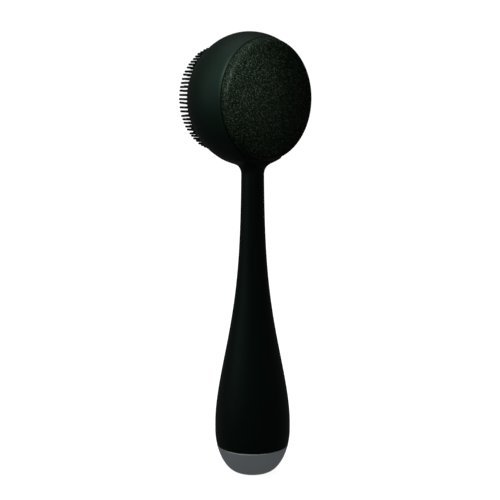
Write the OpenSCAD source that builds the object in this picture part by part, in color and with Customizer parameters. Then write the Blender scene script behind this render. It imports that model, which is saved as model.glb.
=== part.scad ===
// Silicone cleansing brush and massage wand: round head on a tapering handle,
// with one battery in the handle and a vibration motor in the head.
// Z runs up the handle from the foot of the end cap, the brush faces -Y and
// the massage disc faces +Y.

/* [Handle] */
// Widest radius of the handle
grip_r = 14.69; // [14.5:0.05:14.9]
// Height at which the handle starts to narrow
grip_z = 19.6; // [19.2:0.1:20]
// Radius of the slim neck
neck_r = 4.26; // [4.2:0.02:4.5]
// Length over which the handle narrows
taper_len = 42.2; // [42:0.1:43]
// Exponent of the narrowing curve
taper_power = 1.775; // [1.75:0.005:1.8]
// Height at which the neck starts to flare into the head
flare_z = 117; // [116.5:0.1:117.5]
// Radius of the fillet between neck and head
flare_rad = 4.6; // [4.4:0.1:4.8]

/* [Head] */
// Height of the centre of the head
head_z = 145.3; // [145:0.1:146]
// Radius of the head across its rim
head_r = 25.2; // [25:0.1:25.5]
// Radius of the rounding around the side of the head
side_rad = 18.6; // [18.4:0.1:18.8]
// Y of the widest part of the head
head_y = -1.46; // [-1.5:0.02:-1.4]

/* [Shells] */
// Thickness of the silicone sleeve
sleeve_t = 1.2; // [1.1:0.05:1.2]
// Thickness of the hard core inside the sleeve
core_t = 1.2; // [1.1:0.05:1.2]
// Gap between the end cap and the sleeve
cap_gap = 0.3; // [0.25:0.05:0.35]

/* [Brush] */
// Radius of one bristle
bristle_r = 0.4; // [0.3:0.05:0.4]
// Free length of one bristle
bristle_len = 4.5; // [4:0.1:5]
// Radius of the outermost ring of bristles
ring_r = 19.74; // [19.6:0.02:19.76]
// Distance from one ring to the next
ring_step = 2; // [1.9:0.1:2.4]
// Distance between neighbours around a ring
bristle_pitch = 1.55; // [1.5:0.05:2]
// How far the brush face bulges at its centre
brush_dome = 2.9; // [2.5:0.1:3]

/* [Massage disc] */
// Radius of the disc
disc_r = 22.75; // [22.6:0.05:22.8]
// Radius of the rounding of its edge
disc_edge = 2.4; // [2:0.1:2.6]
// Bulge of the disc at its centre
disc_dome = 0.6; // [0.4:0.1:0.8]

/* [End cap] */
// Radius of the flat foot
foot_r = 6; // [5.8:0.1:6.4]
// Height at which the bulge of the cap is widest
bulge_z = 16.4; // [16.2:0.1:16.6]
// Exponent of the rounding of the cap
cap_power = 1.85; // [1.8:0.05:1.9]
// Height of the outside of the cap
cap_h = 10.8; // [10.7:0.1:10.9]
// Wall of the outside of the cap
cap_t = 1.8; // [1.7:0.05:1.8]

/* [Battery] */
// Radius of the battery
cell_r = 5.25; // [5.15:0.05:5.25]
// Length of the battery with its terminal
cell_len = 44.5; // [44.3:0.1:44.5]
// Length of the spring with the battery in place
spring_h = 3.9; // [3.8:0.05:4]

/* [Motor] */
// Radius of the motor
motor_r = 3.5; // [3.4:0.05:3.5]
// Length of the motor
motor_len = 16.5; // [16:0.1:16.6]
// Radius of the motor shaft
shaft_r = 0.5; // [0.45:0.05:0.5]

/* [Button] */
// Radius of the power button
button_r = 3; // [2.9:0.05:3]
// Height of the power button above the foot
button_z = 66; // [65.5:0.1:66.5]

/* [Hidden] */

$fn = 48;
eps = 0.01;                         // overlap that keeps a cut clean
inner_t = sleeve_t + core_t;        // from the outside to the inside of the core
flare_top = flare_z + flare_rad + 2.4;  // where the neck is well inside the head
sleeve_z = cap_h + cap_gap;         // bottom edge of the sleeve and the core

// Planes along Y, from the brush to the disc
pad_seat_y = -12.9;                 // front face of the core, behind the pad
lip_front_y = -13.9;                // front edge of the sleeve
pad_rim_y = -14.6;                  // rim of the brush face
disc_seat_y = 5.3;                  // rear face of the core
glue_t = 0.3;                       // thickness of the adhesive
lip_rear_y = 7.0;                   // rear edge of the sleeve
disc_rim_y = lip_rear_y + 0.3;      // underside of the rim of the disc
disc_face_y = disc_rim_y + 0.6 + disc_edge;  // outer face of the disc inside its rounded edge
pad_r = 20.3;
pad_spigot_r = 18.6;
disc_spigot_r = 21.5;

// Battery bay, from the foot up
floor_z = 4.8;                      // bottom of the well in the cap plug
contact_t = 0.4;
cell_z = floor_z + contact_t;       // tip of the battery's terminal
cell_top = cell_z + cell_len;
nub_h = 0.8;
plate_t = 0.3;
plate_z = cell_top + spring_h;      // underside of the battery contact
plug_top = 17;
plug_r = 9.85;
well_r = 5.9;
collar_r = 11.5;
collar_bore_r = 10.1;
strip_t = 0.25;
collar_top = 19.35;
tube_z = collar_top + strip_t;
tube_r = 6.2;
tube_bore_r = 5.6;
tube_roof_z = plate_z + plate_t;
tube_top = tube_roof_z + 1;
strip_x = tube_r + 0.02;
strip_w = 2;
seal_z = 12.7;
seal_rad = 0.55;
seal_r = collar_bore_r - seal_rad - 0.05;

// Control board and switch
board_z = 56.5;
board_top = 80;
board_y = 0.6;
board_t = 1;
board_foot_w = 8.8;
board_head_w = 5.4;
key_gap = 0.15;                     // around the button
flange_r = button_r + 0.7;
flange_y = -3;                      // front of the flange that keeps the button in
flange_t = 0.7;
plunger_r = 0.9;
plunger_y = -1.5;                   // tip of the plunger
plunger_len = 1.3;
switch_y = -1;                      // front of the switch body

// Motor
motor_y = -3.8;
motor_z = 131;
motor_wall = 0.4;
run_gap = 0.05;                     // running clearance around the shaft
bell_t = 1.5;
motor_top = motor_z + motor_len;
weight_z = motor_top + 1.5;
weight_h = 4;
saddle_w = 11;
saddle_z = 134;
saddle_h = 11;
lead_r = 0.45;

// Screws
screw_ring = 16;                    // distance from the centre of the head
screw_r = 1;
screw_head_r = 1.9;
screw_head_h = 1;
screw_len = 12;
boss_r = 2.6;

// Heights from a to b, no more than d apart
function steps(a, b, d) = let (n = max(1, ceil((b - a) / d))) [for (i = [0:n]) a + (b - a) * i / n];

// A smooth rise from 0 at a to 1 at b
function ease(z, a, b) = let (t = min(1, max(0, (z - a) / (b - a)))) t * t * (3 - 2 * t);

// Radius of the cap's rounding at height z
function bulge(z) =
    foot_r + (grip_r - foot_r) * pow(1 - pow((bulge_z - z) / bulge_z, cap_power), 1 / cap_power);

// How far the fillet under the head stands out at height z
function flare(z) =
    z <= flare_z ? 0 : flare_rad - sqrt(max(0, pow(flare_rad, 2) - pow(z - flare_z, 2)));

// Outside radius of the handle at height z
function handle_r(z) =
    z < bulge_z ? bulge(z) :
    z < grip_z ? grip_r :
    neck_r + (grip_r - neck_r) * exp(-pow((z - grip_z) / taper_len, taper_power)) + flare(z);

// Radius of the head's side at depth y
function side_r(y, inset) = head_r - side_rad + sqrt(pow(side_rad - inset, 2) - pow(y - head_y, 2));

// The handle between two heights, made smaller by inset
module handle_turned(z0, z1, inset) {
    levels = z0 < cap_h ? steps(z0, z1, 0.9) : z0 < flare_z ? steps(z0, z1, 3.5) : steps(z0, z1, 0.7);
    rotate_extrude()
        polygon(concat([[0, z0]], [for (z = levels) [handle_r(z) - inset, z]], [[0, z1]]));
}

// The handle and the fillet under the head, which stops at the depth rear_y behind the disc
module stem_turned(inset, rear_y) {
    handle_turned(sleeve_z, flare_z, inset);
    intersection() {
        handle_turned(flare_z, flare_top, inset);
        translate([-head_r, -head_r, flare_z - 1]) cube([2 * head_r, head_r + rear_y, 2 * flare_rad + 2]);
    }
}

// Stands its children on the head's axis, with their Z along +Y
module on_head() {
    translate([0, 0, head_z]) rotate([-90, 0, 0]) children();
}

// The head between two depths, made smaller by inset
module head_turned(y0, y1, inset) {
    inner = [for (k = [-15:15]) let (y = head_y + 1.1 * k) if (y > y0 + 0.3 && y < y1 - 0.3) y];
    levels = concat([y0], inner, [y1]);
    on_head() rotate_extrude()
        polygon(concat([[0, y0]], [for (y = levels) [side_r(y, inset), y]], [[0, y1]]));
}

// A closed round bar along a path
module bar(path, r, sides) {
    n = len(path);
    rings = [for (i = [0:n - 1])
        let (d = path[min(i + 1, n - 1)] - path[max(i - 1, 0)],
             t = d / norm(d),
             u = cross(abs(t.z) < 0.9 ? [0, 0, 1] : [0, 1, 0], t),
             v = u / norm(u),
             w = cross(t, v))
        for (k = [0:sides - 1]) path[i] + r * (cos(360 * k / sides) * v + sin(360 * k / sides) * w)];
    skin = [for (i = [0:n - 2], k = [0:sides - 1])
        let (a = i * sides + k, b = i * sides + (k + 1) % sides) [a, a + sides, b + sides, b]];
    ends = [[for (k = [0:sides - 1]) k], [for (k = [sides - 1:-1:0]) (n - 1) * sides + k]];
    polyhedron(points = rings, faces = concat(skin, ends));
}

// A row of points on the head at each screw
module at_screws() {
    for (a = [45:90:315]) on_head() rotate([0, 0, a]) translate([screw_ring, 0, 0]) children();
}

// A cylinder between two depths on the head's axis
module head_disc(y0, y1, r) {
    translate([0, 0, y0]) cylinder(h = y1 - y0, r = r);
}

// A cylinder that runs along Y through the button's centre
module on_button(y0, y1, r) {
    translate([0, y0, button_z]) rotate([-90, 0, 0]) cylinder(h = y1 - y0, r = r);
}

// ---- Skin ----

module silicone_sleeve() {
    color([0.05, 0.07, 0.07]) difference() {
        union() {
            stem_turned(0, lip_rear_y);
            head_turned(lip_front_y, lip_rear_y, 0);
        }
        stem_turned(sleeve_t, disc_seat_y);
        head_turned(lip_front_y - 1, lip_rear_y + 1, sleeve_t);
        translate([0, 0, sleeve_z - 1]) cylinder(h = 1 + eps, r = handle_r(sleeve_z) - sleeve_t);
        on_button(-grip_r, 0, button_r + 2 * key_gap);
    }
}

// Y of the brush face around the ring of radius r
function face_y(r) = pad_rim_y - brush_dome * (1 - pow(r / pad_r, 2));

// The face steps up by a flat band under each ring of bristles
module brush_pad() {
    color([0.06, 0.08, 0.08]) on_head() {
        head_disc(pad_rim_y, lip_front_y, pad_r);
        head_disc(lip_front_y - eps, pad_seat_y, pad_spigot_r);
        for (r = [ring_r:-ring_step:1]) {
            count = round(2 * PI * r / bristle_pitch);
            head_disc(face_y(r), lip_front_y, min(pad_r, r + ring_step / 2));
            for (i = [0:count - 1])
                rotate([0, 0, 360 * i / count]) translate([r, 0, face_y(r) - bristle_len])
                    cylinder(h = bristle_len + bristle_r, r = bristle_r);
        }
    }
}

// ---- Core ----

module core_shell() {
    difference() {
        union() {
            stem_turned(sleeve_t, disc_seat_y);
            head_turned(pad_seat_y, disc_seat_y, sleeve_t);
        }
        stem_turned(inner_t, disc_seat_y - core_t);
        head_turned(pad_seat_y + core_t, disc_seat_y - core_t, inner_t);
        translate([0, 0, sleeve_z - 1]) cylinder(h = 1 + eps, r = handle_r(sleeve_z) - inner_t);
    }
}

// The half of the core on one side of the plane Y = 0
module core_half(side) {
    reach = 2 * head_r;
    intersection() {
        core_shell();
        translate([-head_r, side < 0 ? -reach : 0, 0]) cube([reach, reach, head_z + head_r]);
    }
}

module core_front() {
    color([0.8, 0.8, 0.78]) difference() {
        union() {
            core_half(-1);
            at_screws() head_disc(pad_seat_y + core_t, 0, boss_r);
        }
        at_screws() head_disc(disc_seat_y - screw_len, eps, screw_r);
        on_button(-grip_r, 0, button_r + key_gap);
    }
}

module core_rear() {
    color([0.72, 0.72, 0.7]) difference() {
        union() {
            core_half(1);
            at_screws() head_disc(0, disc_seat_y - core_t, boss_r);
        }
        at_screws() head_disc(-eps, disc_seat_y, screw_r);
        at_screws() head_disc(disc_seat_y - screw_head_h, disc_seat_y + eps, screw_head_r);
    }
}

module core_screws() {
    color([0.75, 0.76, 0.78]) at_screws() difference() {
        union() {
            head_disc(disc_seat_y - screw_len, disc_seat_y, screw_r);
            head_disc(disc_seat_y - screw_head_h, disc_seat_y, screw_head_r);
        }
        for (a = [0, 90])
            rotate([0, 0, a]) translate([-1.1, -0.2, disc_seat_y - 0.5]) cube([2.2, 0.4, 1]);
    }
}

// ---- Massage disc ----

module massage_disc() {
    flat_r = disc_r - disc_edge;
    edge = [for (a = [0:15:90])
        [flat_r + disc_edge * cos(a), disc_face_y - disc_edge + disc_edge * sin(a)]];
    dome = [for (r = [flat_r * 0.8:-flat_r * 0.2:0])
        [max(r, 0), disc_face_y + disc_dome * (1 - pow(r / flat_r, 2))]];
    back = [[0, disc_seat_y + glue_t], [disc_spigot_r, disc_seat_y + glue_t],
            [disc_spigot_r, disc_rim_y], [disc_r, disc_rim_y]];
    color([0.17, 0.2, 0.2]) on_head() rotate_extrude() polygon(concat(back, edge, dome));
}

module disc_adhesive() {
    color([0.9, 0.9, 0.85]) on_head() head_disc(disc_seat_y, disc_seat_y + glue_t, disc_spigot_r - 0.5);
}

// ---- Vibration motor ----

// Puts its children on the motor's axis
module on_motor() {
    translate([0, motor_y, 0]) children();
}

module motor_can() {
    color([0.7, 0.71, 0.73]) on_motor() difference() {
        translate([0, 0, motor_z]) cylinder(h = motor_len, r = motor_r);
        translate([0, 0, motor_z - eps]) cylinder(h = motor_len - motor_wall + eps, r = motor_r - motor_wall);
        translate([0, 0, motor_z]) cylinder(h = motor_len + 1, r = shaft_r + run_gap);
    }
}

module motor_end_bell() {
    color([0.15, 0.15, 0.16]) on_motor() difference() {
        translate([0, 0, motor_z]) cylinder(h = bell_t, r = motor_r - motor_wall);
        translate([0, 0, motor_z + 0.5]) cylinder(h = bell_t, r = shaft_r + run_gap);
    }
}

module motor_magnet() {
    color([0.35, 0.35, 0.37]) on_motor() translate([0, 0, motor_z + 4]) difference() {
        cylinder(h = motor_len - motor_wall - 4, r = 1.9);
        translate([0, 0, -1]) cylinder(h = motor_len, r = shaft_r + 0.2);
    }
}

module motor_coil() {
    color([0.72, 0.4, 0.2]) on_motor() translate([0, 0, motor_z + 2.2]) difference() {
        cylinder(h = 12, r = 2.75);
        translate([0, 0, 0.8]) cylinder(h = 12, r = 2.1);
        translate([0, 0, -1]) cylinder(h = 3, r = shaft_r);
    }
}

module motor_shaft() {
    color([0.8, 0.8, 0.82]) on_motor() translate([0, 0, motor_z + 0.7])
        cylinder(h = weight_z + weight_h - motor_z - 0.7, r = shaft_r);
}

module eccentric_weight() {
    color([0.55, 0.53, 0.5]) on_motor() translate([0, 0, weight_z]) difference() {
        union() {
            intersection() {
                cylinder(h = weight_h, r = 3.2);
                translate([-4, -4, 0]) cube([8, 4, weight_h]);
            }
            cylinder(h = weight_h, r = 1.3);
        }
        translate([0, 0, -1]) cylinder(h = weight_h + 2, r = shaft_r);
    }
}

module motor_cradle() {
    wall_y = disc_seat_y - core_t;
    color([0.25, 0.25, 0.26]) difference() {
        translate([-saddle_w / 2, motor_y, saddle_z]) cube([saddle_w, wall_y - motor_y, saddle_h]);
        on_motor() translate([0, 0, saddle_z - 1]) cylinder(h = saddle_h + 2, r = motor_r);
    }
}

module motor_clip() {
    clip_t = 0.4;
    clip_w = 5;
    color([0.75, 0.76, 0.78]) on_motor() translate([0, 0, saddle_z + 3]) difference() {
        union() {
            cylinder(h = clip_w, r = motor_r + clip_t);
            translate([-saddle_w / 2, -clip_t, 0]) cube([saddle_w, clip_t, clip_w]);
        }
        translate([0, 0, -1]) cylinder(h = clip_w + 2, r = motor_r);
        translate([-saddle_w, 0, -1]) cube([2 * saddle_w, saddle_w, clip_w + 2]);
    }
}

// A lead from the board up through the neck to the motor
module motor_lead(side) {
    start_y = board_y - lead_r;
    bar([for (z = steps(board_top - 3, motor_z, 1.5))
        [side * (0.75 + 0.4 * ease(z, 119, 128)), start_y + (motor_y - start_y) * ease(z, 119, 129), z]],
        lead_r, 10);
}

module motor_lead_red() {
    color([0.7, 0.1, 0.1]) motor_lead(1);
}

module motor_lead_black() {
    color([0.1, 0.1, 0.1]) motor_lead(-1);
}

// ---- Electronics ----

module control_board() {
    color([0.1, 0.35, 0.2]) translate([0, board_y + board_t, 0]) rotate([90, 0, 0])
        linear_extrude(board_t) polygon([
            [-board_foot_w / 2, board_z], [board_foot_w / 2, board_z],
            [board_head_w / 2, board_top], [-board_head_w / 2, board_top]]);
}

module board_parts() {
    rear_y = board_y + board_t;
    color([0.12, 0.12, 0.13]) {
        translate([-1.5, rear_y, 70]) cube([3, 0.9, 3]);
        translate([-1.3, rear_y, 62]) cube([2.6, 1.1, 1.6]);
        for (x = [-1.9, 1.1]) translate([x, rear_y, 66.2]) cube([0.8, 0.6, 1.6]);
    }
}

module switch_body() {
    color([0.2, 0.2, 0.21]) difference() {
        translate([-1.8, switch_y, button_z - 1.6]) cube([3.6, board_y - switch_y, 3.2]);
        on_button(switch_y - 1, board_y - 0.15, plunger_r + run_gap);
    }
}

module switch_plunger() {
    color([0.85, 0.84, 0.8]) on_button(plunger_y, plunger_y + plunger_len, plunger_r);
}

module power_button() {
    color([0.07, 0.09, 0.09]) {
        intersection() {
            on_button(-grip_r, flange_y + eps, button_r);
            handle_turned(button_z - 5, button_z + 5, 0);
        }
        on_button(flange_y, flange_y + flange_t, flange_r);
        on_button(flange_y + flange_t - eps, plunger_y, 1.1);
    }
}

// ---- Battery bay ----

module battery_tube() {
    rib_z = 35.4;
    color([0.2, 0.21, 0.22]) difference() {
        union() {
            translate([0, 0, tube_z]) cylinder(h = tube_top - tube_z, r = tube_r);
            translate([0, 0, tube_z]) cylinder(h = 1.4, r = 12.1);
            translate([0, 0, rib_z]) cylinder(h = 1.2, r = 10.3);
        }
        translate([0, 0, tube_z - 1]) cylinder(h = tube_roof_z - tube_z + 1, r = tube_bore_r);
        translate([-1.1, 1.5, tube_roof_z - 1]) cube([2.2, 0.5, 3]);
        for (z = [tube_z - 1, rib_z - 1])
            translate([tube_r, -strip_w / 2 - 0.1, z]) cube([strip_t + 0.1, strip_w + 0.2, 4]);
    }
}

module battery_cell() {
    color([0.78, 0.55, 0.2]) {
        translate([0, 0, cell_z + nub_h]) cylinder(h = cell_len - nub_h, r = cell_r);
        translate([0, 0, cell_z]) cylinder(h = nub_h + eps, r = 1.9);
    }
}

module contact_spring() {
    wire_r = 0.25;
    turns = 3.5;
    rise = spring_h - 2 * wire_r;
    color([0.8, 0.8, 0.82])
        bar([for (a = [0:20:360 * turns])
            let (f = a / (360 * turns), r = 2.2 + 1.8 * f)
            [r * cos(a), r * sin(a), cell_top + wire_r + rise * f]], wire_r, 8);
}

module battery_contact() {
    rear_y = board_y + board_t;
    color([0.82, 0.8, 0.72]) {
        translate([0, 0, plate_z]) cylinder(h = plate_t, r = 5);
        translate([-1, rear_y, plate_z]) cube([2, strip_t, 5.4]);
    }
}

module contact_strip() {
    tab_x = board_foot_w / 2;
    bend_z = tube_top + 0.05;
    color([0.82, 0.8, 0.72]) translate([0, -strip_w / 2, 0]) {
        translate([strip_x, 0, collar_top]) cube([collar_r - strip_x, strip_w, strip_t]);
        translate([strip_x, 0, collar_top]) cube([strip_t, strip_w, bend_z + strip_t - collar_top]);
        translate([tab_x, 0, bend_z]) cube([strip_x + strip_t - tab_x, strip_w, strip_t]);
        translate([tab_x, 0, bend_z]) cube([strip_t, strip_w, 3.5]);
    }
}

module threaded_collar() {
    color([0.8, 0.66, 0.36]) translate([0, 0, sleeve_z]) difference() {
        cylinder(h = collar_top - sleeve_z, r = collar_r);
        translate([0, 0, -1]) cylinder(h = collar_top, r = collar_bore_r);
    }
}

// ---- End cap ----

module cap_seal() {
    color([0.1, 0.1, 0.1]) translate([0, 0, seal_z])
        rotate_extrude() translate([seal_r, 0]) circle(r = seal_rad, $fn = 24);
}

module cap_plug() {
    color([0.3, 0.31, 0.32]) difference() {
        union() {
            handle_turned(cap_t + 0.6, cap_h, cap_t);
            translate([0, 0, cap_h - eps]) cylinder(h = plug_top - cap_h + eps, r = plug_r);
        }
        translate([0, 0, floor_z]) cylinder(h = plug_top, r = well_r);
        translate([0, 0, seal_z - 0.7]) difference() {
            cylinder(h = 1.4, r = plug_r + 1);
            translate([0, 0, -1]) cylinder(h = 4, r = seal_r - seal_rad);
        }
    }
}

module cap_contact() {
    color([0.82, 0.8, 0.72]) translate([0, 0, floor_z]) cylinder(h = contact_t, r = well_r - 0.2);
}

module end_cap() {
    color([0.38, 0.4, 0.42]) difference() {
        handle_turned(0, cap_h, 0);
        handle_turned(cap_t + 0.6, cap_h, cap_t);
        translate([0, 0, cap_h - eps]) cylinder(h = 1, r = handle_r(cap_h) - cap_t);
    }
}

silicone_sleeve();
brush_pad();
core_front();
core_rear();
core_screws();
massage_disc();
disc_adhesive();
motor_can();
motor_end_bell();
motor_magnet();
motor_coil();
motor_shaft();
eccentric_weight();
motor_cradle();
motor_clip();
motor_lead_red();
motor_lead_black();
control_board();
board_parts();
switch_body();
switch_plunger();
power_button();
battery_tube();
battery_cell();
contact_spring();
battery_contact();
contact_strip();
threaded_collar();
cap_seal();
cap_plug();
cap_contact();
end_cap();
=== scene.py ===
"""Facial cleansing wand: the visible skins, bristles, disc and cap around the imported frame."""

import logging
import math
import random
from collections.abc import Callable
from dataclasses import dataclass, field
from enum import Enum

import bmesh
import bpy
from mathutils import Matrix, Vector


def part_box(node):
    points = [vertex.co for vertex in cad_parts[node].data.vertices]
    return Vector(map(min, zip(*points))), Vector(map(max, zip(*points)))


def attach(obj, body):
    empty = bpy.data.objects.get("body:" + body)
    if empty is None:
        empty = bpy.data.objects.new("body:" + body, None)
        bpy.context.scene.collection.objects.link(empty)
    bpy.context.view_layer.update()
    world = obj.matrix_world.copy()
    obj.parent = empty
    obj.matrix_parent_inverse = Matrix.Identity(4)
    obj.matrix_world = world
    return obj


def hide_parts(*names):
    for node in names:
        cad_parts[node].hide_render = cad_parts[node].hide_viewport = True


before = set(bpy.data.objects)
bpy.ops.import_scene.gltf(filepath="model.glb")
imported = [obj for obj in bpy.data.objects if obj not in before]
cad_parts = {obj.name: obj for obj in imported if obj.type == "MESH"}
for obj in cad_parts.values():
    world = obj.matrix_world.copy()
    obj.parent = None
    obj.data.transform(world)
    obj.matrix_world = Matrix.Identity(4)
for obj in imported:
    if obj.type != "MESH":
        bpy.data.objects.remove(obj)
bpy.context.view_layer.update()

MM = 0.001
FULL_TURN = 2 * math.pi
SHARP_ANGLE = math.radians(38)
MERGE = 1e-7
TINY = 1e-9
NEAR_CENTRE = 1e-6
ON_CUT = 0.01 * MM
WHITE = (1.0, 1.0, 1.0, 1.0)

Pair = tuple[float, float]
Triple = tuple[float, float, float]
Outline = list[Pair]

log = logging.getLogger("wand")


class Turn(Enum):
    """The axis that a turned piece is spun about."""

    UPRIGHT = Vector((0, 0, 1))
    BRUSHWARD = Vector((0, -1, 0))


# ---- shader graphs


class Sock:
    """A shader value: an output socket that takes part in Python arithmetic."""

    def __init__(self, graph: "Graph", socket: bpy.types.NodeSocket) -> None:
        """Wraps a socket.

        Args:
            graph: the graph that the socket belongs to.
            socket: an output socket of one of its nodes.
        """
        self.graph = graph
        self.socket = socket

    def __add__(self, other: "Sock | float") -> "Sock":
        """Sum."""
        return self.graph.math("ADD", self, other)

    def __radd__(self, other: float) -> "Sock":
        """Sum, with the number first."""
        return self.graph.math("ADD", other, self)

    def __sub__(self, other: "Sock | float") -> "Sock":
        """Difference."""
        return self.graph.math("SUBTRACT", self, other)

    def __rsub__(self, other: float) -> "Sock":
        """Difference, with the number first."""
        return self.graph.math("SUBTRACT", other, self)

    def __mul__(self, other: "Sock | float") -> "Sock":
        """Product."""
        return self.graph.math("MULTIPLY", self, other)

    def __rmul__(self, other: float) -> "Sock":
        """Product, with the number first."""
        return self.graph.math("MULTIPLY", other, self)


class Graph:
    """The node tree of one material, or of the surround."""

    def __init__(self, name: str, world: bool = False) -> None:
        """Makes an empty tree.

        Args:
            name: the name of its material or world.
            world: makes a world instead of a material.
        """
        self.owner = bpy.data.worlds.new(name) if world else bpy.data.materials.new(name)
        self.owner.use_nodes = True
        self.tree = self.owner.node_tree
        self.tree.nodes.clear()

    def add(self, kind: str, settings: dict | None = None,
            inputs: dict | None = None) -> bpy.types.Node:
        """Adds any node.

        Args:
            kind: the node's type.
            settings: its properties, set before its inputs.
            inputs: numbers, colours or Sock values, by socket name or number.

        Returns:
            The new node.
        """
        node = self.tree.nodes.new(kind)
        for key, value in (settings or {}).items():
            setattr(node, key, value)
        for key, value in (inputs or {}).items():
            socket = node.inputs[key]
            if isinstance(value, Sock):
                self.tree.links.new(value.socket, socket)
            else:
                socket.default_value = value
        return node

    def out(self, node: bpy.types.Node, name: str | int = 0) -> Sock:
        """One output of a node, ready for arithmetic."""
        return Sock(self, node.outputs[name])

    def math(self, operation: str, a: Sock | float, b: Sock | float) -> Sock:
        """A Math node on two values."""
        return self.out(self.add("ShaderNodeMath", {"operation": operation}, {0: a, 1: b}))

    def place(self, scale: Triple = (1, 1, 1)) -> Sock:
        """Object coordinates, stretched along each axis."""
        spot = self.out(self.add("ShaderNodeTexCoord"), "Object")
        return self.out(self.add("ShaderNodeVectorMath", {"operation": "MULTIPLY"},
                                 {0: spot, 1: scale}))

    def noise(self, spot: Sock, scale: float, detail: float = 2.0, rough: float = 0.5) -> Sock:
        """A noise value from 0 to 1 at a scale in cycles a metre."""
        node = self.add("ShaderNodeTexNoise", None,
                        {"Vector": spot, "Scale": scale, "Detail": detail, "Roughness": rough})
        return self.out(node, "Fac")

    def cells(self, spot: Sock, scale: float) -> Sock:
        """A random value for each cell of a pattern.

        Args:
            spot: the coordinates.
            scale: how many cells there are to a metre.

        Returns:
            The value, from 0 to 1.
        """
        node = self.add("ShaderNodeTexVoronoi", None, {"Vector": spot, "Scale": scale})
        colour = self.out(node, "Color")
        return self.out(self.add("ShaderNodeSeparateColor", None, {0: colour}), 0)

    def ramp(self, value: Sock, low: float, high: float) -> Sock:
        """A smooth rise from 0 at low to 1 at high."""
        settings = {"interpolation_type": "SMOOTHSTEP"}
        return self.out(self.add("ShaderNodeMapRange", settings,
                                 {"Value": value, "From Min": low, "From Max": high}), "Result")

    def mix(self, factor: Sock | float, a: Sock | tuple, b: Sock | tuple) -> Sock:
        """A colour between a and b.

        Args:
            factor: 0 for a, 1 for b.
            a: a colour of three numbers, or a value.
            b: the same.

        Returns:
            The mixed colour.
        """
        node = self.add("ShaderNodeMix", {"data_type": "RGBA"}, {0: factor, 6: rgba(a), 7: rgba(b)})
        return self.out(node, 2)

    def bump(self, height: Sock, distance: float, strength: float) -> Sock:
        """A normal bent by a height of 0 to 1, where 1 stands a distance in metres high."""
        inputs = {"Height": height, "Distance": distance, "Strength": strength}
        return self.out(self.add("ShaderNodeBump", None, inputs))

    def finish(self, **inputs: "Sock | float | tuple") -> bpy.types.Material:
        """Closes the graph with one Principled shader.

        Args:
            inputs: its sockets, with underscores for the spaces in their names.

        Returns:
            The finished material.
        """
        named = {key.replace("_", " "): value for key, value in inputs.items()}
        if "Base Color" in named:
            named["Base Color"] = rgba(named["Base Color"])
        shader = self.add("ShaderNodeBsdfPrincipled", None, named)
        self.add("ShaderNodeOutputMaterial", None, {"Surface": self.out(shader)})
        return self.owner


def rgba(colour: Sock | tuple) -> Sock | tuple:
    """A colour with its alpha, or a value as it is."""
    return colour if isinstance(colour, Sock) else (*colour[:3], 1.0)


# ---- finishes


@dataclass(frozen=True)
class Silicone:
    """Soft moulded silicone: dark, satin, with a fine matt skin and a trace of dust."""

    name: str
    colour: Triple = (0.0016, 0.0040, 0.0027)
    dusty: Triple = (0.0028, 0.0058, 0.0042)
    roughness: float = 0.46
    specular: float = 0.12
    sheen_tint: tuple[float, float, float, float] = (0.62, 1.0, 0.86, 1.0)
    skin_scale: float = 4200.0
    skin_height: float = 0.012 * MM
    skin_strength: float = 0.6
    cloud_scale: float = 45.0
    cloud_rough: float = 0.05
    dust_scale: float = 900.0
    dust_range: Pair = (0.55, 0.85)
    dust_rough: float = 0.06

    def material(self) -> bpy.types.Material:
        """Builds the material.

        Returns:
            The material.
        """
        g = Graph(self.name)
        spot = g.place()
        cloud = g.noise(spot, self.cloud_scale, detail=3.0)
        skin = g.noise(spot, self.skin_scale, detail=2.0)
        dust = g.ramp(g.noise(spot, self.dust_scale, detail=4.0, rough=0.7), *self.dust_range)
        tint = g.mix(0.65 * cloud + 0.35 * dust, self.colour, self.dusty)
        rough = self.roughness + self.cloud_rough * cloud + self.dust_rough * dust
        return g.finish(Base_Color=tint, Roughness=rough, Specular_IOR_Level=self.specular,
                        Specular_Tint=self.sheen_tint,
                        Normal=g.bump(skin, self.skin_height, self.skin_strength))


@dataclass(frozen=True)
class PearlGrain:
    """The disc's dark pearl face: tight mineral grain with small bright flakes."""

    name: str
    dark: Triple = (0.0006, 0.0016, 0.0006)
    light: Triple = (0.0046, 0.0088, 0.0048)
    flake: Triple = (0.0300, 0.0430, 0.0315)
    grains: float = 4000.0
    flakes: float = 3700.0
    shade_scale: float = 1700.0
    patch_scale: float = 150.0
    flake_range: Pair = (0.74, 0.84)
    level_range: Pair = (0.36, 0.66)
    grain_height: float = 0.11 * MM
    grain_strength: float = 0.9
    grain_rough: float = 0.18
    flake_polish: float = 0.14
    roughness: float = 0.42
    specular: float = 0.06
    sheen_tint: tuple[float, float, float, float] = (0.80, 1.0, 0.80, 1.0)

    def material(self) -> bpy.types.Material:
        """Builds the material.

        Returns:
            The material.
        """
        g = Graph(self.name)
        spot = g.place()
        grain = g.cells(spot, self.grains)
        fleck = g.cells(spot, self.flakes)
        shade = g.noise(spot, self.shade_scale, detail=4.0, rough=0.75)
        patch = g.noise(spot, self.patch_scale, detail=3.0, rough=0.6)
        flakes = g.ramp(fleck * 0.75 + shade * 0.25, *self.flake_range)
        level = g.ramp(0.45 * grain + 0.35 * shade + 0.20 * patch, *self.level_range)
        tint = g.mix(flakes, g.mix(level, self.dark, self.light), self.flake)
        rough = self.roughness + self.grain_rough * grain - self.flake_polish * flakes
        height = 0.6 * grain + 0.4 * shade
        return g.finish(Base_Color=tint, Roughness=rough, Specular_IOR_Level=self.specular,
                        Specular_Tint=self.sheen_tint,
                        Normal=g.bump(height, self.grain_height, self.grain_strength))


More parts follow.
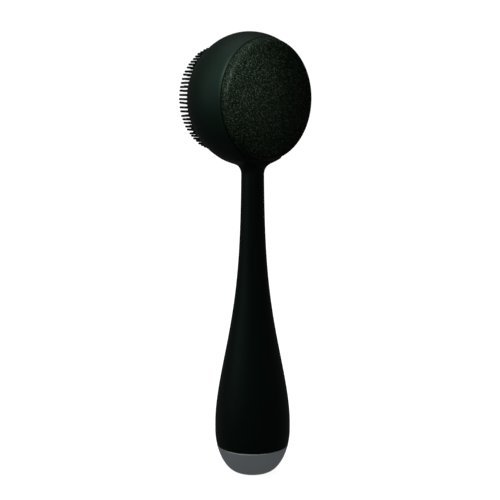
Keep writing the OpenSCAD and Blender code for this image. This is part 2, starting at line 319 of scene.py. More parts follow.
@dataclass(frozen=True)
class Gunmetal:
    """The end cap's satin metal: fine blasting, faint turning marks and a few hairline rubs."""

    name: str
    colour: Triple = (0.640, 0.710, 0.745)
    rubbed: Triple = (0.730, 0.800, 0.830)
    roughness: float = 0.38
    blast_scale: float = 5200.0
    blast_height: float = 0.010 * MM
    blast_strength: float = 0.7
    turning_lines: Triple = (12.0, 12.0, 5200.0)
    rub_lines: Triple = (700.0, 700.0, 90.0)
    rub_range: Pair = (0.64, 0.80)
    cloud_scale: float = 130.0

    def material(self) -> bpy.types.Material:
        """Builds the material.

        Returns:
            The material.
        """
        g = Graph(self.name)
        spot = g.place()
        blast = g.noise(spot, self.blast_scale, detail=2.0)
        turning = g.noise(g.place(self.turning_lines), 1.0, detail=2.0)
        scratches = g.noise(g.place(self.rub_lines), 1.0, detail=5.0, rough=0.75)
        rubs = g.ramp(scratches, *self.rub_range)
        cloud = g.noise(spot, self.cloud_scale, detail=3.0)
        tint = g.mix(0.5 * cloud + 0.5 * rubs, self.colour, self.rubbed)
        rough = self.roughness + 0.06 * cloud + 0.05 * blast - 0.05 * rubs
        height = 0.7 * blast + 0.3 * turning
        return g.finish(Base_Color=tint, Roughness=rough, Metallic=1.0,
                        Normal=g.bump(height, self.blast_height, self.blast_strength))


@dataclass(frozen=True)
class Plastic:
    """Moulded plastic with a fine spark-eroded texture and slight flow marks."""

    name: str
    colour: Triple
    roughness: float = 0.5
    texture: float = 0.015 * MM
    texture_strength: float = 0.6
    flow_scale: float = 120.0
    grain_scale: float = 3600.0
    grain_rough: float = 0.1
    paler: float = 1.18
    least_pale: float = 0.004

    def material(self) -> bpy.types.Material:
        """Builds the material.

        Returns:
            The material.
        """
        g = Graph(self.name)
        spot = g.place()
        flow = g.noise(spot, self.flow_scale, detail=3.0)
        grain = g.noise(spot, self.grain_scale, detail=3.0)
        pale = tuple(min(1.0, c * self.paler + self.least_pale) for c in self.colour)
        return g.finish(Base_Color=g.mix(flow, self.colour, pale),
                        Roughness=self.roughness + self.grain_rough * grain,
                        Normal=g.bump(grain, self.texture, self.texture_strength))


@dataclass(frozen=True)
class Metal:
    """Plated or turned metal with fine lines along one direction."""

    name: str
    colour: Triple
    lines: Triple = (60.0, 60.0, 6000.0)
    roughness: float = 0.26
    line_height: float = 0.004 * MM
    line_strength: float = 0.5
    tarnish_scale: float = 420.0
    tarnish_range: Pair = (0.4, 0.8)
    duller: float = 0.72
    wear_rough: float = 0.12

    def material(self) -> bpy.types.Material:
        """Builds the material.

        Returns:
            The material.
        """
        g = Graph(self.name)
        fine = g.noise(g.place(self.lines), 1.0, detail=3.0)
        tarnish = g.noise(g.place(), self.tarnish_scale, detail=4.0, rough=0.6)
        dull = tuple(c * self.duller for c in self.colour)
        tint = g.mix(g.ramp(tarnish, *self.tarnish_range), self.colour, dull)
        rough = self.roughness + self.wear_rough * fine + self.wear_rough * tarnish
        return g.finish(Base_Color=tint, Metallic=1.0, Roughness=rough,
                        Normal=g.bump(fine, self.line_height, self.line_strength))


# ---- mesh work


def spin_profile(points: Outline, steps: int, turn: Turn,
                 centre: Vector) -> bmesh.types.BMesh:
    """Turns an outline into a closed round mesh.

    Args:
        points: the outline as (radius, place along the axis). Its ends lie on the axis, or it is a
            loop when the first point is repeated at the end.
        steps: how many segments the full turn has.
        turn: the axis to spin about.
        centre: the point that radius and place are counted from.

    Returns:
        The mesh, with its faces pointing outwards.
    """
    axis = turn.value
    across = Vector((1, 0, 0))
    bm = bmesh.new()
    closed = points[0] == points[-1]
    outline = points[:-1] if closed else points
    verts = [bm.verts.new(centre + across * r + axis * h) for r, h in outline]
    edges = [bm.edges.new(pair) for pair in zip(verts, verts[1:])]
    if closed:
        edges.append(bm.edges.new((verts[-1], verts[0])))
    bmesh.ops.spin(bm, geom=verts + edges, cent=centre, axis=axis, angle=FULL_TURN, steps=steps,
                   use_merge=True)
    bmesh.ops.remove_doubles(bm, verts=bm.verts, dist=MERGE)
    bmesh.ops.recalc_face_normals(bm, faces=bm.faces)
    return bm


def arc(cx: float, cy: float, radius: float, start: float, end: float,
        count: int) -> Outline:
    """Points along an arc of an outline.

    Args:
        cx: the centre's distance from the axis.
        cy: the centre's place along the axis.
        radius: the radius of the arc.
        start: the first angle in degrees, 0 pointing away from the axis.
        end: the last angle in degrees.
        count: how many stretches the arc is divided into.

    Returns:
        The points, first to last.
    """
    angles = [math.radians(start + (end - start) * i / count) for i in range(count + 1)]
    return [(cx + radius * math.cos(a), cy + radius * math.sin(a)) for a in angles]


def ease(value: float, low: float, high: float) -> float:
    """A smooth rise from 0 at low to 1 at high."""
    t = min(1.0, max(0.0, (value - low) / (high - low)))
    return t * t * (3 - 2 * t)


def spread(start: float, end: float, step: float) -> list[float]:
    """Even places from start to end, about a step apart."""
    count = max(1, round((end - start) / step))
    return [start + (end - start) * k / count for k in range(count + 1)]


def make_piece(name: str, bm: bmesh.types.BMesh, material: bpy.types.Material, body: str,
               replaces: tuple[str, ...] = ()) -> bpy.types.Object:
    """Turns a mesh into a finished piece of the object.

    Args:
        name: the piece's name.
        bm: its mesh, in place, which is freed.
        material: its finish.
        body: the CAD body that it rides on.
        replaces: the CAD nodes that it stands for.

    Returns:
        The new object.
    """
    mesh = bpy.data.meshes.new(name)
    bm.to_mesh(mesh)
    bm.free()
    mesh.shade_smooth()
    mesh.set_sharp_from_angle(angle=SHARP_ANGLE)
    mesh.materials.append(material)
    piece = bpy.data.objects.new(name, mesh)
    bpy.context.scene.collection.objects.link(piece)
    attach(piece, body)
    if replaces:
        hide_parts(*replaces)
    log.info("%s: %d faces on %s", name, len(mesh.polygons), body)
    return piece


# ---- the wand's shape


@dataclass
class Shape:
    """The outline that the sleeve, the cap and the button share, in metres."""

    grip_r: float = 14.69 * MM
    grip_z: float = 19.6 * MM
    neck_r: float = 4.26 * MM
    taper_len: float = 42.2 * MM
    taper_power: float = 1.775
    flare_z: float = 117.0 * MM
    flare_r: float = 4.6 * MM
    flare_h: float = 5.8 * MM
    flare_turn: float = math.radians(66)
    foot_r: float = 6.0 * MM
    bulge_z: float = 16.4 * MM
    cap_power: float = 1.85
    head_r: float = 25.2 * MM
    head_depth: float = 21.3 * MM
    head_y: float = -1.46 * MM
    melt: float = 1.0 * MM
    back_y: float = 6.4 * MM
    back_soft: float = 0.8 * MM
    shift_span: Pair = (2 * MM, 7 * MM)
    melt_start: Pair = (1.5 * MM, 4 * MM)
    melt_end: Pair = (6 * MM, 9 * MM)
    stem_end: Pair = (7 * MM, 11 * MM)
    press_end: Pair = (5.4 * MM, 6.4 * MM)
    least_ball: float = 1 * MM
    head_z: float = field(init=False)
    cap_h: float = field(init=False)
    button_z: float = field(init=False)

    def __post_init__(self) -> None:
        """Takes the heights from the frame."""
        low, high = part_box("massage_disc")
        self.head_z = (low.z + high.z) / 2
        self.cap_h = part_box("end_cap")[1].z
        low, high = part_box("power_button")
        self.button_z = (low.z + high.z) / 2

    def radius(self, z: float) -> float:
        """The handle's outside radius, with the flare under the head.

        Args:
            z: the height.

        Returns:
            The radius.
        """
        if z < self.bulge_z:
            rise = 1 - ((self.bulge_z - z) / self.bulge_z) ** self.cap_power
            swell = max(0.0, rise) ** (1 / self.cap_power)
            return self.foot_r + (self.grip_r - self.foot_r) * swell
        if z < self.grip_z:
            return self.grip_r
        fall = math.exp(-(((z - self.grip_z) / self.taper_len) ** self.taper_power))
        bend = self.flare_r * math.sin(self.flare_turn)
        rise = min(max(0.0, z - self.flare_z), self.flare_h)
        round_part = min(rise, bend)
        flare = self.flare_r - math.sqrt(self.flare_r**2 - round_part**2)
        flare += (rise - round_part) * math.tan(self.flare_turn)
        return self.neck_r + (self.grip_r - self.neck_r) * fall + flare

    def skin(self, turn: float, z: float) -> Vector:
        """A point of the skin, where the neck melts into the flattened ball of the head.

        Args:
            turn: the direction from the middle, 0 towards the brush, in radians.
            z: the height.

        Returns:
            The point.
        """
        if z < self.flare_z:
            return Vector((self.radius(z) * math.sin(turn), -self.radius(z) * math.cos(turn), z))
        middle = self.head_y * self._above(z, self.shift_span)
        east, north = math.sin(turn), -math.cos(turn)
        half = north * middle
        stem = math.sqrt(half**2 - middle**2 + self.radius(z) ** 2) - half
        height = (z - self.head_z) / self.head_r
        wide = self.head_r * math.sqrt(max(0.0, 1 - height**2))
        deep = wide * self.head_depth / self.head_r
        if wide < self.least_ball and z < self.head_z:
            return Vector((stem * east, middle + stem * north, z))
        if z > self.head_z:
            wide, deep = max(wide, TINY), max(deep, TINY)
        off = middle - self.head_y
        a = (east / wide) ** 2 + (north / deep) ** 2
        b = off * north / deep**2
        root = b**2 - a * ((off / deep) ** 2 - 1)
        ball = (math.sqrt(root) - b) / a if root > 0 else 0.0
        melt = self.melt * self._above(z, self.melt_start) * (1 - self._above(z, self.melt_end))
        stem *= 1 - self._above(z, self.stem_end)
        reach = (ball + stem + math.sqrt((ball - stem) ** 2 + melt**2)) / 2
        return Vector((reach * east, self._press(middle + reach * north, z), z))

    def _above(self, z: float, span: Pair) -> float:
        """A smooth rise from 0 to 1 over a span that is counted from the flare's start."""
        return ease(z, self.flare_z + span[0], self.flare_z + span[1])

    def _press(self, y: float, z: float) -> float:
        """Keeps the flare's back just clear of the lip, so that it runs in under the disc.

        Args:
            y: a point's place from the brush to the disc.
            z: its height.

        Returns:
            The point's new place.
        """
        over = y - (self.back_y - self.back_soft)
        if over <= 0:
            return y
        pressed = self.back_y - self.back_soft * math.exp(-over / self.back_soft)
        return y + (pressed - y) * (1 - self._above(z, self.press_end))


@dataclass
class Sleeve:
    """The silicone skin: handle, neck and head in one piece, open at both faces and at the foot."""

    shape: Shape
    wall: float = 1.2 * MM
    cap_gap: float = 0.3 * MM
    foot_round: float = 0.10 * MM
    hole_round: float = 0.30 * MM
    shoulder: float = 0.5 * MM
    shoulder_slope: float = 0.75
    rear_lip: float = 1.4 * MM
    spigot_r: float = 21.5 * MM
    front_lip: float = 1.0 * MM
    spigot_gap: float = 0.15 * MM
    pad_spigot_r: float = 18.6 * MM
    rim_gap: float = 0.45 * MM
    cut_snap: float = 0.12 * MM
    edge_near: float = 0.02 * MM
    edge_angle: float = math.radians(30)
    edge_steps: int = 3
    hole_r: float = 3.3 * MM
    spins: int = 160
    row: float = 1.6 * MM
    fine_rows: int = 10
    fine_reach: float = 6.6 * MM
    flare_step: int = 5
    flare_end: int = 65
    ball_start: float = 19.0
    ball_rows: int = 94
    hole_cells: int = 11
    hole_blend: float = 2.0

    def build(self, finish: Silicone) -> bpy.types.Object:
        """Makes the sleeve.

        Args:
            finish: its finish.

        Returns:
            The sleeve.
        """
        disc_low, disc_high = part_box("massage_disc")
        rear = disc_low.y + self.rear_lip
        pad_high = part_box("brush_pad")[1]
        front = pad_high.y - self.front_lip
        bm = spin_profile(self._outline(), self.spins, Turn.UPRIGHT, Vector())
        self._open_button(bm)
        self._shape_head(bm)
        self._cut(bm, front, -1, pad_high.x, self.pad_spigot_r + self.spigot_gap)
        self._cut(bm, rear, 1, disc_high.x, self.spigot_r + self.spigot_gap)
        bmesh.ops.recalc_face_normals(bm, faces=bm.faces)
        bmesh.ops.solidify(bm, geom=bm.faces, thickness=self.wall)
        self._round_rims(bm)
        return make_piece("sleeve_skin", bm, finish.material(), "handle",
                          ("silicone_sleeve",))

    def _outline(self) -> Outline:
        """The outside, as if the head were a ball.

        Returns:
            The outline, from the foot opening to the top of the head.
        """
        shape = self.shape
        fine = self.hole_r / self.fine_rows
        reach = round(self.fine_reach / fine)
        levels = spread(shape.cap_h + self.cap_gap, shape.button_z - self.fine_reach, self.row)[:-1]
        levels += [shape.button_z + fine * k for k in range(-reach, reach + 1)]
        levels += spread(levels[-1], shape.flare_z, self.row)[1:-1]
        bends = range(0, self.flare_end + 1, self.flare_step)
        levels += [shape.flare_z + shape.flare_r * math.sin(math.radians(a)) for a in bends]
        points = [(shape.radius(z), z) for z in levels]
        points += arc(0, shape.head_z, shape.head_r, self.ball_start - 90, 90, self.ball_rows)
        points[-1] = (0.0, points[-1][1])
        return points

    def _open_button(self, bm: bmesh.types.BMesh) -> None:
        """Bends the rows in front of the button into rings, and opens the hole inside them.

        Args:
            bm: the mesh.
        """
        shape = self.shape
        half_angle = self.hole_cells * FULL_TURN / self.spins

        def grid(co: Vector) -> Pair:
            """Place around and along the handle, where the hole's square is 1 each way."""
            return math.atan2(co.x, -co.y) / half_angle, (co.z - shape.button_z) / self.hole_r

        inside = [f for f in bm.faces if max(abs(c) for c in grid(f.calc_center_median())) < 1]
        for vert in bm.verts:
            a, b = grid(vert.co)
            square = max(abs(a), abs(b))
            if NEAR_CENTRE < square < self.hole_blend:
                ring = square / math.hypot(a, b)
                weight = 1 - ease(square, 1.0, self.hole_blend)
                x = vert.co.x + (self.hole_r * a * ring - vert.co.x) * weight
                z = vert.co.z + (shape.button_z + self.hole_r * b * ring - vert.co.z) * weight
                vert.co = Vector((x, -math.sqrt(shape.radius(z) ** 2 - x * x), z))
        bmesh.ops.delete(bm, geom=inside, context="FACES")

    def _shape_head(self, bm: bmesh.types.BMesh) -> None:
        """Presses the ball of the head into its flatter shape, and melts the neck into it.

        Args:
            bm: the mesh.
        """
        for vert in bm.verts:
            if vert.co.z > self.shape.flare_z:
                vert.co = self.shape.skin(math.atan2(vert.co.x, -vert.co.y), vert.co.z)

    def _cut(self, bm: bmesh.types.BMesh, y: float, side: int, edge: float, reach: float) -> None:
        """Cuts the head off flat and draws the opening in to a sloped shoulder and a flat lip.

        Args:
            bm: the mesh.
            y: where the lip lies.
            side: 1 to drop what lies beyond it, -1 to drop what lies in front of it.
            edge: the radius of the part that stands on the lip.
            reach: the radius of the opening inside the lip.
        """
        start = y - side * self.shoulder
        head = [f for f in bm.faces if f.calc_center_median().z > self.shape.flare_z]
        geom = list(dict.fromkeys(v for f in head for v in f.verts))
        geom += list(dict.fromkeys(e for f in head for e in f.edges)) + head
        bmesh.ops.bisect_plane(bm, geom=geom, dist=self.cut_snap, plane_co=Vector((0, start, 0)),
                               plane_no=Vector((0, side, 0)), use_snap_center=True,
                               clear_outer=True)
        rim = {v for e in self._opening(bm, start) for v in e.verts}
        in_order = sorted(rim, key=lambda v: tuple(v.co))
        bmesh.ops.remove_doubles(bm, verts=in_order, dist=self.rim_gap)
        middle = Vector((0, start, self.shape.head_z))
        inset = self.shoulder * self.shoulder_slope
        widest = edge + self.spigot_gap
        self._draw_in(bm, start, y, lambda v: min((v.co - middle).length - inset, widest))
        self._draw_in(bm, y, y, lambda v: reach)

    def _draw_in(self, bm: bmesh.types.BMesh, start: float, end: float,
                 radius: Callable[[bmesh.types.BMVert], float]) -> None:
        """Draws the head's opening in by one ring.

        Args:
            bm: the mesh.
            start: where the opening lies.
            end: where the new ring lies.
            radius: gives a point's new distance from the head's centre line.
        """
        new = bmesh.ops.extrude_edge_only(bm, edges=self._opening(bm, start))["geom"]
        for vert in [g for g in new if isinstance(g, bmesh.types.BMVert)]:
            out = (vert.co - Vector((0, start, self.shape.head_z))).normalized()
            vert.co = Vector((0, end, self.shape.head_z)) + out * radius(vert)

    @staticmethod
    def _opening(bm: bmesh.types.BMesh, y: float) -> list[bmesh.types.BMEdge]:
        """The open edges that lie at a cut."""
        return [e for e in bm.edges
                if e.is_boundary and all(abs(v.co.y - y) < ON_CUT for v in e.verts)]

    def _round_rims(self, bm: bmesh.types.BMesh) -> None:
        """Rounds the outer edges of the foot opening and of the button's opening.

        Args:
            bm: the mesh.
        """
        shape = self.shape
        foot = shape.cap_h + self.cap_gap
        near = self.edge_near

        def at_foot(co: Vector) -> bool:
            """Is the point on the outer edge of the foot opening?"""
            out = math.hypot(co.x, co.y)
            return abs(co.z - foot) < near and out > shape.radius(foot) - near

        def at_hole(co: Vector) -> bool:
            """Is the point on the outer edge of the button's opening?"""
            off = math.hypot(co.x, co.z - shape.button_z)
            return co.y < 0 and abs(off - self.hole_r) < near and \
                abs(math.hypot(co.x, co.y) - shape.radius(co.z)) < near

        for test, offset in ((at_foot, self.foot_round), (at_hole, self.hole_round)):
            rim = [e for e in bm.edges
                   if all(test(v.co) for v in e.verts) and e.calc_face_angle(0) > self.edge_angle]
            log.info("sleeve: %d rim edges to round", len(rim))
            bmesh.ops.bevel(bm, geom=rim, offset=offset, offset_type="OFFSET", affect="EDGES",
                            segments=self.edge_steps, profile=0.5, clamp_overlap=True, material=-1)


@dataclass
class BrushFace:
    """The brush: a domed silicone face with rings of fine bristles."""

    shape: Shape
    pad_r: float = 20.3 * MM
    spigot_r: float = 18.6 * MM
    spigot_h: float = 1.0 * MM
    rim_h: float = 1.7 * MM
    rim_round: float = 0.6 * MM
    dome: float = 2.9 * MM
    ring_r: float = 19.74 * MM
    ring_step: float = 2.0 * MM
    pitch: float = 1.55 * MM
    bristle_r: float = 0.45 * MM
    bristle_len: float = 4.5 * MM
    lean: float = 1.3
    seed: int = 7
    innermost: float = 1 * MM
    sides: int = 8
    spins: int = 144
    step_gap: float = 0.02 * MM
    rim_set: float = 0.85
    rim_turn: int = 72
    rim_steps: int = 5
    face_reach: float = 0.97
    face_rings: int = 28

    def build(self, skin: Silicone, hair: Silicone) -> list[bpy.types.Object]:
        """Makes the face and its bristles.

        Args:
            skin: the finish of the face.
            hair: the finish of the bristles.

        Returns:
            Both pieces.
        """
        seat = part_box("brush_pad")[1].y
        centre = Vector((0, 0, self.shape.head_z))
        base = -seat
        rim = base + self.rim_h
        rings = [self.pad_r * self.face_reach * k / self.face_rings
                 for k in range(self.face_rings + 1)]
        points = [(0.0, base), (self.spigot_r, base), (self.spigot_r, base + self.spigot_h),
                  (self.pad_r, base + self.spigot_h + self.step_gap)]
        points += arc(self.pad_r - self.rim_round, rim - self.rim_round * self.rim_set,
                      self.rim_round, 0, self.rim_turn, self.rim_steps)
        points += [(r, self._face(rim, r)) for r in rings[::-1]]
        face = spin_profile(points, self.spins, Turn.BRUSHWARD, centre)
        pad = make_piece("brush_face", face, skin.material(), "handle",
                         ("brush_pad",))
        bristles = make_piece("brush_bristles", self._bristles(rim), hair.material(), "handle")
        return [pad, bristles]

    def _face(self, rim: float, r: float) -> float:
        """Distance of the domed face in front of the frame's centre plane, at a radius."""
        return rim + self.dome * (1 - (r / self.pad_r) ** 2)

    def _bristle(self) -> bmesh.types.BMesh:
        """One bristle standing on the origin: a flared root, a slight taper and a round tip.

        Returns:
            Its mesh, along +Z.
        """
        length = self.bristle_len
        r = self.bristle_r
        stations = [(1.4 * r, -0.35 * MM), (1.1 * r, 0.18 * MM), (r, 0.6 * MM),
                    (0.97 * r, length - 0.6 * r), (0.84 * r, length - 0.2 * r), (0.50 * r, length)]
        bm = bmesh.new()
        bmesh.ops.create_circle(bm, segments=self.sides, radius=stations[0][0],
                                matrix=Matrix.Translation((0, 0, stations[0][1])))
        edges = list(bm.edges)
        for (was, low), (now, high) in zip(stations, stations[1:]):
            new = bmesh.ops.extrude_edge_only(bm, edges=edges)["geom"]
            verts = [g for g in new if isinstance(g, bmesh.types.BMVert)]
            edges = [g for g in new if isinstance(g, bmesh.types.BMEdge)]
            bmesh.ops.scale(bm, vec=(now / was, now / was, 1), verts=verts)
            bmesh.ops.translate(bm, vec=(0, 0, high - low), verts=verts)
        bmesh.ops.holes_fill(bm, edges=[e for e in bm.edges if e.is_boundary], sides=self.sides)
        bmesh.ops.recalc_face_normals(bm, faces=bm.faces)
        return bm

    def _bristles(self, rim: float) -> bmesh.types.BMesh:
        """Every bristle, in rings on the dome.

        Args:
            rim: distance of the face's rim in front of the frame's centre plane.

        Returns:
            One mesh with all the bristles.
        """
        one = self._bristle()
        pattern = bpy.data.meshes.new("bristle_pattern")
        one.to_mesh(pattern)
        one.free()
        dice = random.Random(self.seed)
        forward = Matrix.Rotation(math.radians(90), 4, "X")
        bm = bmesh.new()
        rings = int((self.ring_r - self.innermost) / self.ring_step) + 1
        for k in range(rings):
            r = self.ring_r - k * self.ring_step
            count = round(FULL_TURN * r / self.pitch)
            root = self._face(rim, r)
            for i in range(count):
                angle = FULL_TURN * i / count
                lean = Matrix.Rotation(math.radians(dice.gauss(0, self.lean)), 4, "X") @ \
                    Matrix.Rotation(math.radians(dice.gauss(0, self.lean)), 4, "Y")
                height = self.shape.head_z + r * math.sin(angle)
                stand = Matrix.Translation((r * math.cos(angle), -root, height))
                start = len(bm.verts)
                bm.from_mesh(pattern)
                bm.verts.ensure_lookup_table()
                bmesh.ops.transform(bm, matrix=stand @ forward @ lean, verts=bm.verts[start:])
        bpy.data.meshes.remove(pattern)
        return bm


@dataclass
class MassageDisc:
    """The disc behind the head: a spigot in the sleeve's lip and a pebble-like rounded face."""

    shape: Shape
    radius: float = 22.75 * MM
    spigot_r: float = 21.5 * MM
    step_h: float = 1.7 * MM
    wall_h: float = 0.6 * MM
    edge_round: float = 2.4 * MM
    dome: float = 0.6 * MM
    break_edge: float = 0.2 * MM
    edge_turn: int = 88
    edge_steps: int = 18
    face_rings: int = 32
    spins: int = 192

    def build(self, finish: PearlGrain) -> bpy.types.Object:
        """Makes the disc.

        Args:
            finish: its finish.

        Returns:
            The disc.
        """
        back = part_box("massage_disc")[0].y
        centre = Vector((0, 0, self.shape.head_z))
        under = back + self.step_h
        knee = under + self.wall_h
        flat = self.radius - self.edge_round
        points = [(0.0, back), (self.spigot_r - self.break_edge, back),
                  (self.spigot_r, back + self.break_edge), (self.spigot_r, under),
                  (self.radius - self.break_edge, under), (self.radius, under + self.break_edge)]
        points += arc(flat, knee, self.edge_round, 0, self.edge_turn, self.edge_steps)
        face = knee + self.edge_round
        rings = self.face_rings
        points += [(flat * k / rings, face + self.dome * (1 - (k / rings) ** 2))
                   for k in range(rings - 1, -1, -1)]
        bm = spin_profile([(r, -y) for r, y in points], self.spins, Turn.BRUSHWARD, centre)
        return make_piece("disc_plate", bm, finish.material(), "handle",
                          ("massage_disc",))


@dataclass
class EndCap:
    """The gunmetal cap: a flat foot, a rounded side and a fine chamfer at the seam."""

    shape: Shape
    wall: float = 1.8 * MM
    chamfer: float = 0.10 * MM
    proud: float = 0.03 * MM
    floor_extra: float = 0.6 * MM
    foot_inset: float = 1.2 * MM
    hollow_h: float = 0.35 * MM
    hollow_start: float = 1.1 * MM
    hollow_end: float = 0.7 * MM
    band_h: float = 0.25 * MM
    band_draft: float = 0.02 * MM
    lip_h: float = 0.3 * MM
    bore_h: float = 1 * MM
    rows: int = 44
    row_power: float = 1.6
    spins: int = 192

    def build(self, finish: Gunmetal) -> bpy.types.Object:
        """Makes the cap.

        Args:
            finish: its finish.

        Returns:
            The cap.
        """
        shape = self.shape
        top = shape.cap_h
        edge_z = top - self.chamfer
        floor = self.wall + self.floor_extra
        foot = shape.foot_r - self.foot_inset
        levels = [edge_z * (k / self.rows) ** self.row_power for k in range(1, self.rows + 1)]
        side = [(shape.radius(z), z) for z in levels]
        edge = side[-1][0] + self.proud
        points = [(0.0, self.hollow_h), (foot - self.hollow_start, self.hollow_h),
                  (foot - self.hollow_end, 0.0), (foot, 0.0)]
        points += side[:-2]
        points += [(edge - self.band_draft, edge_z - self.band_h), (edge, edge_z),
                   (edge - self.chamfer, top)]
        inner = shape.radius(top) - self.wall
        points += [(inner, top), (inner, top - self.lip_h)]
        bore = [top - self.bore_h, (top + floor) / 2, floor]
        points += [(shape.radius(z) - self.wall, z) for z in bore]
        points += [(0.0, floor)]
        bm = spin_profile(points, self.spins, Turn.UPRIGHT, Vector())
        return make_piece("cap_shell", bm, finish.material(), "cap", ("end_cap",))


@dataclass
class PowerButton:
    """The key in the front of the handle, with its flange and stem inside."""

    shape: Shape
    key_r: float = 2.97 * MM
    flange_r: float = 3.7 * MM
    stem_r: float = 1.1 * MM
    stop_gap: float = 0.02 * MM
    edge_round: float = 0.45 * MM
    crown: float = 0.18 * MM
    flange_y: float = 3.0 * MM
    stem_y: float = 2.3 * MM
    key_h: float = 1.2 * MM
    groove_r: float = 1.75 * MM
    groove: float = 0.14 * MM
    groove_w: float = 0.22 * MM
    edge_turn: int = 80
    edge_steps: int = 6
    face_rings: int = 16
    follow_from: float = 0.1 * MM
    spins: int = 72

    def build(self, finish: Silicone) -> bpy.types.Object:
        """Makes the key.

        Args:
            finish: its finish.

        Returns:
            The key.
        """
        shape = self.shape
        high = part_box("power_button")[1]
        centre = Vector((0, 0, shape.button_z))
        top = shape.radius(shape.button_z)
        tip = self.stop_gap - high.y
        knee = self.flange_y + self.key_h
        flat = self.key_r - self.edge_round
        points = [(0.0, tip), (self.stem_r, tip), (self.stem_r, self.stem_y),
                  (self.flange_r, self.stem_y), (self.flange_r, self.flange_y),
                  (self.key_r, self.flange_y), (self.key_r, knee)]
        points += arc(flat, top - self.edge_round, self.edge_round, 0, self.edge_turn,
                      self.edge_steps)
        rings = self.face_rings
        for k in range(rings - 1, -1, -1):
            r = flat * k / rings
            dip = self.groove * math.exp(-(((r - self.groove_r) / self.groove_w) ** 2))
            points.append((r, top + self.crown * (1 - (k / rings) ** 2) - dip))
        bm = spin_profile(points, self.spins, Turn.BRUSHWARD, centre)
        for vert in bm.verts:
            if -vert.co.y > knee + self.follow_from:
                here = math.sqrt(shape.radius(vert.co.z) ** 2 - vert.co.x**2)
                vert.co.y -= here - top
        return make_piece("button_key", bm, finish.material(), "button",
                          ("power_button",))


# ---- inner parts


class Works:
    """The parts inside, which keep their CAD shapes and get their real finishes."""

    def finishes(self) -> dict[str, Plastic | Metal | Silicone]:
        """The finish of each node that keeps its CAD shape.

        Returns:
            The finishes, by node.
        """
        level_lines = (6000.0, 60.0, 60.0)
        return {
            "core_front": Plastic("abs_front", (0.020, 0.024, 0.022)),
            "core_rear": Plastic("abs_rear", (0.018, 0.022, 0.020)),
            "core_screws": Metal("screw_zinc", (0.62, 0.63, 0.66), roughness=0.3),
            "disc_adhesive": Plastic("foam_tape", (0.86, 0.85, 0.80), 0.8),
            "motor_can": Metal("can_nickel", (0.62, 0.62, 0.64)),
            "motor_end_bell": Plastic("bell_nylon", (0.05, 0.05, 0.055), 0.45),
            "motor_magnet": Metal("magnet_ferrite", (0.20, 0.20, 0.21), roughness=0.5),
            "motor_coil": Metal("coil_copper", (0.60, 0.26, 0.11), (90.0, 90.0, 9000.0), 0.32),
            "motor_shaft": Metal("shaft_ground", (0.70, 0.70, 0.72), roughness=0.16),
            "eccentric_weight": Metal("weight_tungsten", (0.38, 0.37, 0.35), roughness=0.4),
            "motor_cradle": Plastic("cradle_abs", (0.10, 0.10, 0.105)),
            "motor_clip": Metal("clip_steel", (0.60, 0.61, 0.63), roughness=0.24),
            "motor_lead_red": Plastic("lead_red_pvc", (0.50, 0.02, 0.02), 0.38),
            "motor_lead_black": Plastic("lead_black_pvc", (0.02, 0.02, 0.02), 0.38),
            "control_board": Plastic("board_laminate", (0.02, 0.14, 0.06), 0.34),
            "board_parts": Plastic("chip_epoxy", (0.025, 0.025, 0.027), 0.55),
            "switch_body": Plastic("switch_nylon", (0.04, 0.04, 0.042), 0.45),
            "switch_plunger": Plastic("plunger_nylon", (0.68, 0.66, 0.60), 0.42),
            "battery_tube": Plastic("tube_abs", (0.08, 0.085, 0.09)),
            "battery_cell": Metal("cell_jacket", (0.58, 0.40, 0.14), (40.0, 40.0, 900.0), 0.3),
            "contact_spring": Metal("spring_nickel", (0.66, 0.66, 0.67), roughness=0.22),
            "battery_contact": Metal("contact_nickel", (0.68, 0.66, 0.62), roughness=0.22),
            "contact_strip": Metal("strip_nickel", (0.68, 0.66, 0.62), level_lines, 0.24),
            "threaded_collar": Metal("collar_brass", (0.72, 0.53, 0.24), roughness=0.24),
            "cap_seal": Plastic("seal_nitrile", (0.018, 0.018, 0.018), 0.36, 0.006 * MM),
            "cap_plug": Plastic("plug_abs", (0.10, 0.105, 0.11)),
            "cap_contact": Metal("cap_contact_nickel", (0.68, 0.66, 0.62), level_lines, 0.22),
        }

    def dress(self) -> None:
        """Gives each node its finish."""
        for node, finish in self.finishes().items():
            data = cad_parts[node].data
            data.materials.clear()
            data.materials.append(finish.material())
        log.info("dressed %d inner nodes", len(self.finishes()))


# ---- studio


@dataclass(frozen=True)
class Softbox:
    """A soft box that stands off the head to the camera's left, up and towards the camera."""

    name: str
    stand: Triple
    size: Pair
    power: float


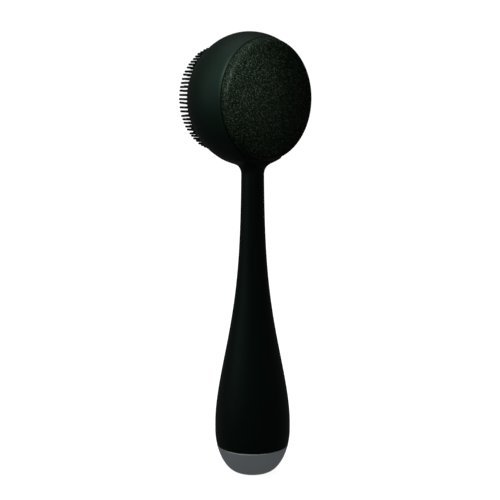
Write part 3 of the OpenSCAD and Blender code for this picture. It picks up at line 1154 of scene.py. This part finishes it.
@dataclass
class Studio:
    """A pale floor, a white surround, the lights and the camera."""

    bearing: float = 43.52
    camera_reach: float = 428.66 * MM
    camera_z: float = 153.13 * MM
    pitch: float = 8.66
    side_step: float = 1.0 * MM
    lens: float = 81.27
    sensor: float = 36.0
    floor_r: float = 4.0
    floor_sides: int = 96
    floor_grain: float = 900.0
    floor_tones: Pair = (0.48, 0.52)
    floor_rough: float = 0.9
    floor_specular: float = 0.1
    surround: float = 0.10
    backdrop: float = 1.05
    floor_glow: float = 0.92
    lit_z: float = 145 * MM
    boxes: tuple[Softbox, ...] = (
        Softbox("key_left", (0.50, 0.20, 0.22), (0.40, 0.50), 0.9),
        Softbox("front_high", (0.30, 0.50, 0.50), (0.35, 0.30), 0.7),
    )
    pool_stand: Triple = (-0.12, 0.42, 0.62)
    pool_target: Triple = (9 * MM, 12 * MM, 17 * MM)
    pool_power: float = 58.0
    pool_angle: float = 4.0
    pool_source_r: float = 12 * MM
    sun_power: float = 1.1
    sun_angle: float = 60.0

    def build(self) -> None:
        """Makes the studio."""
        self._floor()
        self._surround()
        self._lights()
        self._camera()
        bpy.context.scene.view_settings.view_transform = "Standard"

    @property
    def towards(self) -> Vector:
        """The level direction from the handle to the camera."""
        angle = math.radians(self.bearing)
        return Vector((math.sin(angle), math.cos(angle), 0))

    @property
    def left(self) -> Vector:
        """The level direction to the camera's left."""
        return Vector((self.towards.y, -self.towards.x, 0))

    def _floor(self) -> None:
        """A large round floor under the cap, which gives off light but doesn't light the object."""
        g = Graph("floor_paper")
        dark, light = [(tone, tone, tone) for tone in self.floor_tones]
        tint = g.mix(g.noise(g.place(), self.floor_grain, detail=3.0), dark, light)
        material = g.finish(Base_Color=tint, Roughness=self.floor_rough,
                            Specular_IOR_Level=self.floor_specular,
                            Emission_Color=WHITE, Emission_Strength=self.floor_glow)
        bm = bmesh.new()
        bmesh.ops.create_circle(bm, cap_ends=True, segments=self.floor_sides, radius=self.floor_r)
        mesh = bpy.data.meshes.new("floor")
        bm.to_mesh(mesh)
        bm.free()
        mesh.materials.append(material)
        floor = bpy.data.objects.new("floor", mesh)
        floor.visible_diffuse = False
        floor.visible_glossy = False
        bpy.context.scene.collection.objects.link(floor)

    def _surround(self) -> None:
        """A white background whose light on the object is dimmer."""
        g = Graph("surround", world=True)
        seen = g.out(g.add("ShaderNodeLightPath"), "Is Camera Ray")
        dim, bright = [
            g.out(g.add("ShaderNodeBackground", None, {"Color": WHITE, "Strength": power}))
            for power in (self.surround, self.backdrop)]
        mixed = g.out(g.add("ShaderNodeMixShader", None, {0: seen, 1: dim, 2: bright}))
        g.add("ShaderNodeOutputWorld", None, {"Surface": mixed})
        bpy.context.scene.world = g.owner

    def _off_head(self, left: float, up: float, towards: float) -> Vector:
        """A point counted from the middle of the head, in the camera's directions."""
        head = Vector((0, 0, self.lit_z))
        return head + self.left * left + Vector((0, 0, 1)) * up + self.towards * towards

    @staticmethod
    def _aim(data: bpy.types.Light | bpy.types.Camera, place: Vector,
             target: Vector) -> bpy.types.Object:
        """Stands a light or the camera in its place.

        Args:
            data: the light or camera.
            place: where it stands.
            target: the point that it faces.

        Returns:
            Its object.
        """
        thing = bpy.data.objects.new(data.name, data)
        thing.location = place
        thing.rotation_euler = (target - place).to_track_quat("-Z", "Y").to_euler()
        bpy.context.scene.collection.objects.link(thing)
        return thing

    def _lights(self) -> None:
        """Two soft boxes, a narrow soft-edged spot on the disc and a broad sun overhead."""
        head = self._off_head(0, 0, 0)
        for box in self.boxes:
            soft = bpy.data.lights.new(box.name, "AREA")
            soft.shape = "RECTANGLE"
            soft.size, soft.size_y = box.size
            soft.energy = box.power
            self._aim(soft, self._off_head(*box.stand), head)
        pool = bpy.data.lights.new("disc_pool", "SPOT")
        pool.energy = self.pool_power
        pool.spot_size = math.radians(self.pool_angle)
        pool.spot_blend = 1.0
        pool.shadow_soft_size = self.pool_source_r
        self._aim(pool, self._off_head(*self.pool_stand), self._off_head(*self.pool_target))
        sun = bpy.data.lights.new("overhead", "SUN")
        sun.energy = self.sun_power
        sun.angle = math.radians(self.sun_angle)
        self._aim(sun, Vector((0, 0, 1)), Vector())

    def _camera(self) -> None:
        """The camera, level with the upper part of the head and looking slightly down."""
        camera = bpy.data.cameras.new("camera")
        camera.lens = self.lens
        camera.sensor_width = self.sensor
        place = self.towards * self.camera_reach + Vector((0, 0, self.camera_z))
        drop = self.camera_reach * math.tan(math.radians(self.pitch))
        target = Vector((0, 0, self.camera_z - drop)) + self.left * self.side_step
        bpy.context.scene.camera = self._aim(camera, place, target)


def main() -> None:
    """Builds every piece and the studio around it."""
    logging.basicConfig(level=logging.INFO, format="%(name)s: %(message)s")
    shape = Shape()
    Studio().build()
    Sleeve(shape).build(Silicone("sleeve_silicone"))
    BrushFace(shape).build(Silicone("brush_skin"), Silicone("bristle_silicone", roughness=0.40))
    MassageDisc(shape).build(PearlGrain("disc_pearl"))
    EndCap(shape).build(Gunmetal("cap_gunmetal"))
    PowerButton(shape).build(Silicone("button_silicone", roughness=0.42))
    Works().dress()


if __name__ == "__main__":
    main()
